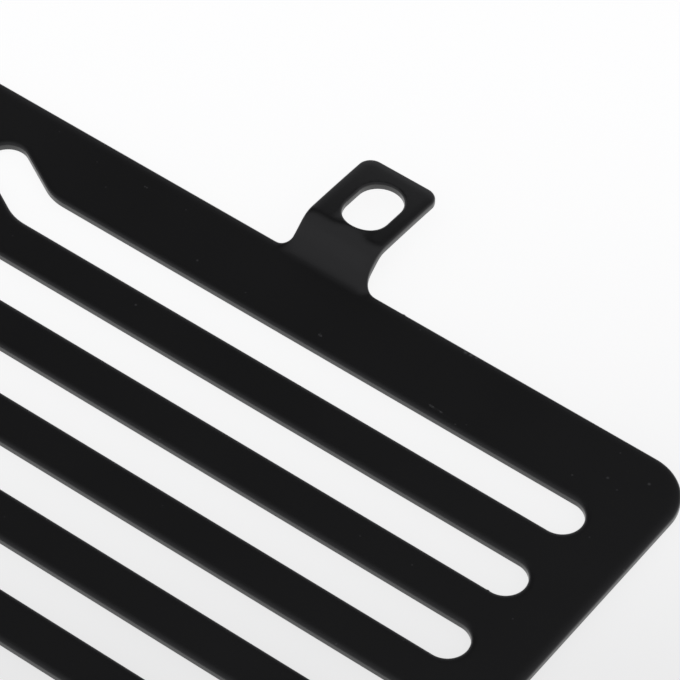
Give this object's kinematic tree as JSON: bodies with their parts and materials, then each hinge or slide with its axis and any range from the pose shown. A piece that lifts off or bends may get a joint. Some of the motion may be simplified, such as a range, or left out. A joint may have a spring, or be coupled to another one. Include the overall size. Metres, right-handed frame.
{
  "type": "motorcycle radiator guard",
  "caption": "Flat black coated sheet guard for a motorcycle radiator, cut with rows of long round-ended slots and carried on joggled tabs with slotted bolt holes.",
  "frame": {"origin": "middle of the guard on its back face", "axes": "+X along the slots, +Y across the slots towards the edge with the kicked slots, +Z out of the front face"},
  "size_m": [0.34, 0.2158, 0.0055],
  "materials": {
    "black_coat": "satin black powder coat"
  },
  "bodies": {
    "root": {"guard_plate": "black_coat"}
  },
  "joints": []
}
